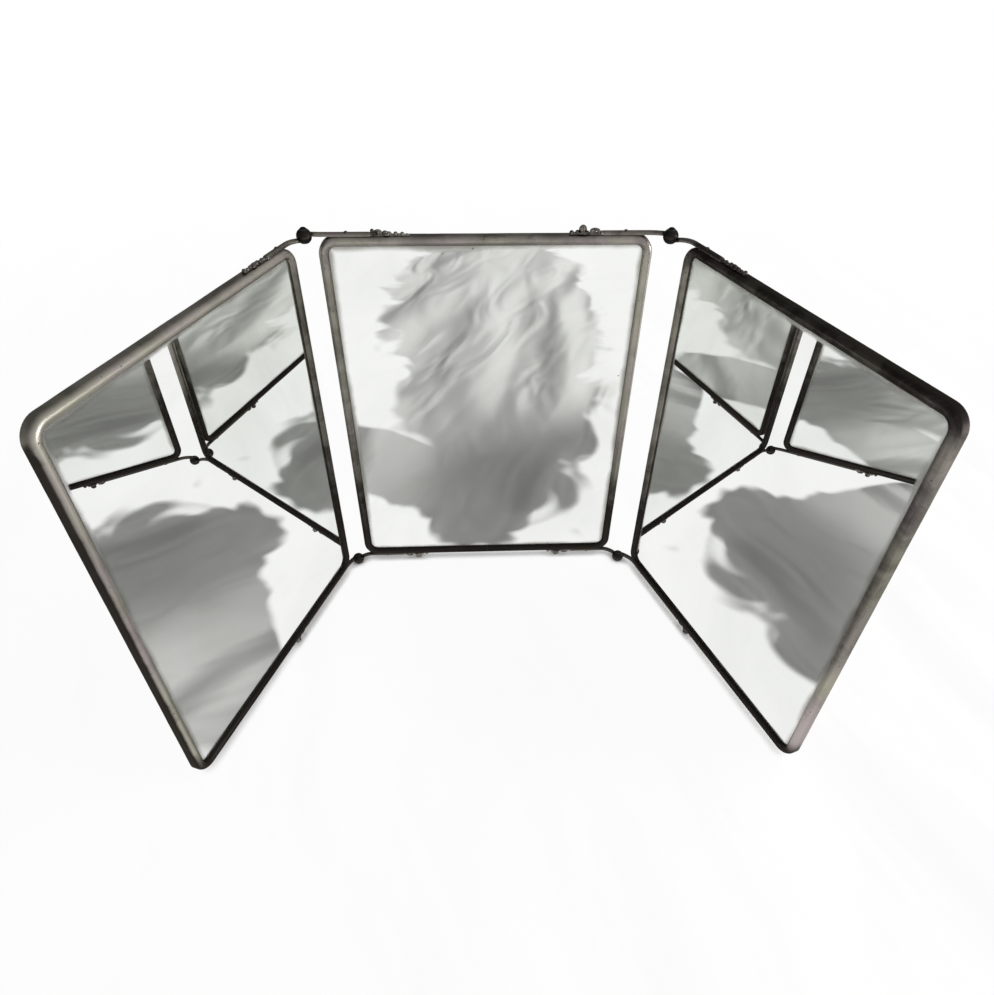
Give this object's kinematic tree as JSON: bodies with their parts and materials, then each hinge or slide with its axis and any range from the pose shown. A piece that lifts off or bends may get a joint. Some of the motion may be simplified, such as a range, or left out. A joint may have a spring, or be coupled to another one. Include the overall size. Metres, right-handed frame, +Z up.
{
  "type": "trifold vanity mirror",
  "caption": "Free-standing folding dressing mirror: a centre panel and two hinged wings of glass in narrow half-round metal frames.",
  "frame": {"origin": "middle of the footprint's bounding box, on the surface that the mirror stands on", "axes": "+X to the right of someone looking into the mirror, +Y from the viewer through the centre glass to the back, +Z up"},
  "size_m": [0.36, 0.1956, 0.2551],
  "materials": {
    "plated_channel": "nickel plate over brass, tarnished and mottled",
    "hinge_leaf": "nickel plate over brass, worn and darkened",
    "hinge_fixing": "worn nickel plate, brass showing on the crowns",
    "cast_ornament": "cast, plated, dark in the hollows",
    "mirror_glass": "silvered plate glass, slightly foxed",
    "packing_card": "plain grey-brown card",
    "back_board": "pressed board covered in dark grained paper"
  },
  "bodies": {
    "centre_panel": {"centre_back_board": "back_board", "centre_frame": "plated_channel", "centre_leaf_rivets": "hinge_fixing", "centre_mirror_glass": "mirror_glass", "centre_packing_card": "packing_card", "hinge_washers": "hinge_fixing", "left_lower_centre_leaf": "hinge_leaf", "left_lower_centre_spray": "cast_ornament", "left_lower_pin": "hinge_fixing", "left_upper_centre_leaf": "hinge_leaf", "left_upper_centre_spray": "cast_ornament", "left_upper_pin": "hinge_fixing", "right_lower_centre_leaf": "hinge_leaf", "right_lower_centre_spray": "cast_ornament", "right_lower_pin": "hinge_fixing", "right_upper_centre_leaf": "hinge_leaf", "right_upper_centre_spray": "cast_ornament", "right_upper_pin": "hinge_fixing"},
    "left_wing": {"left_lower_wing_leaf": "hinge_leaf", "left_lower_wing_spray": "cast_ornament", "left_upper_wing_leaf": "hinge_leaf", "left_upper_wing_spray": "cast_ornament", "left_wing_back_board": "back_board", "left_wing_frame": "plated_channel", "left_wing_leaf_rivets": "hinge_fixing", "left_wing_mirror_glass": "mirror_glass", "left_wing_packing_card": "packing_card"},
    "right_wing": {"right_lower_wing_leaf": "hinge_leaf", "right_lower_wing_spray": "cast_ornament", "right_upper_wing_leaf": "hinge_leaf", "right_upper_wing_spray": "cast_ornament", "right_wing_back_board": "back_board", "right_wing_frame": "plated_channel", "right_wing_leaf_rivets": "hinge_fixing", "right_wing_mirror_glass": "mirror_glass", "right_wing_packing_card": "packing_card"}
  },
  "joints": [
    {"name": "left_wing_fold", "type": "hinge", "parent": "centre_panel", "child": "left_wing", "pos_m": [-0.10245, 0.09011, 0.1265], "axis": [0, 0, 1], "range_deg": [-69.3, 110.7]},
    {"name": "right_wing_fold", "type": "hinge", "parent": "centre_panel", "child": "right_wing", "pos_m": [0.10185, 0.08641, 0.1265], "axis": [0, 0, -1], "range_deg": [-70.1, 109.9]}
  ]
}
